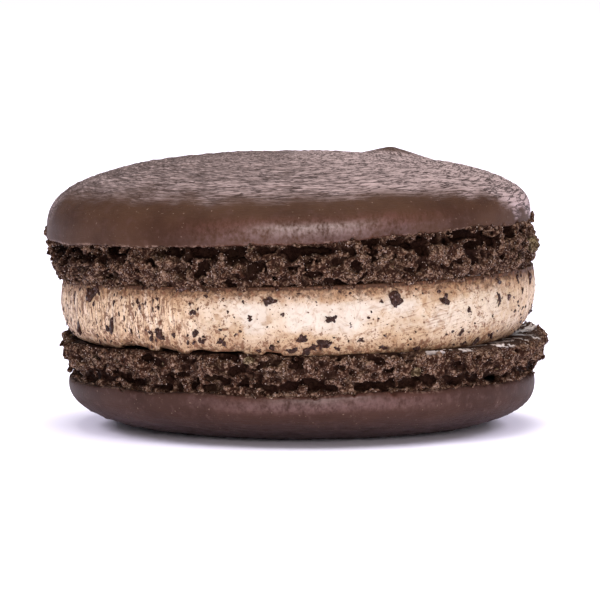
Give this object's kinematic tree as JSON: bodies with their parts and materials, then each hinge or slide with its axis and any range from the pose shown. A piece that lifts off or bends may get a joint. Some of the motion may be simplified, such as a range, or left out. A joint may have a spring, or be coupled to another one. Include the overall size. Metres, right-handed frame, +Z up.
{
  "type": "macaron",
  "caption": "Round chocolate macaron: two domed almond cookies with craggy feet, sandwiching a pale cream filling flecked with dark cookie crumbs.",
  "frame": {"origin": "middle of the flat spot on which the lower cookie rests", "axes": "+Z up through both cookies, -Y the front, +X to the right seen from the front"},
  "size_m": [0.0473, 0.0464, 0.0256],
  "materials": {
    "lower_cookie": "baked almond meringue with cocoa, satin skin and a dull torn foot",
    "cream_filling": "whipped cream with dark cookie crumbs, soft satin",
    "upper_cookie": "baked almond meringue with cocoa, satin skin and a dull torn foot"
  },
  "bodies": {
    "root": {"lower_cookie": "lower_cookie", "cream_filling": "cream_filling", "upper_cookie": "upper_cookie"}
  },
  "joints": []
}
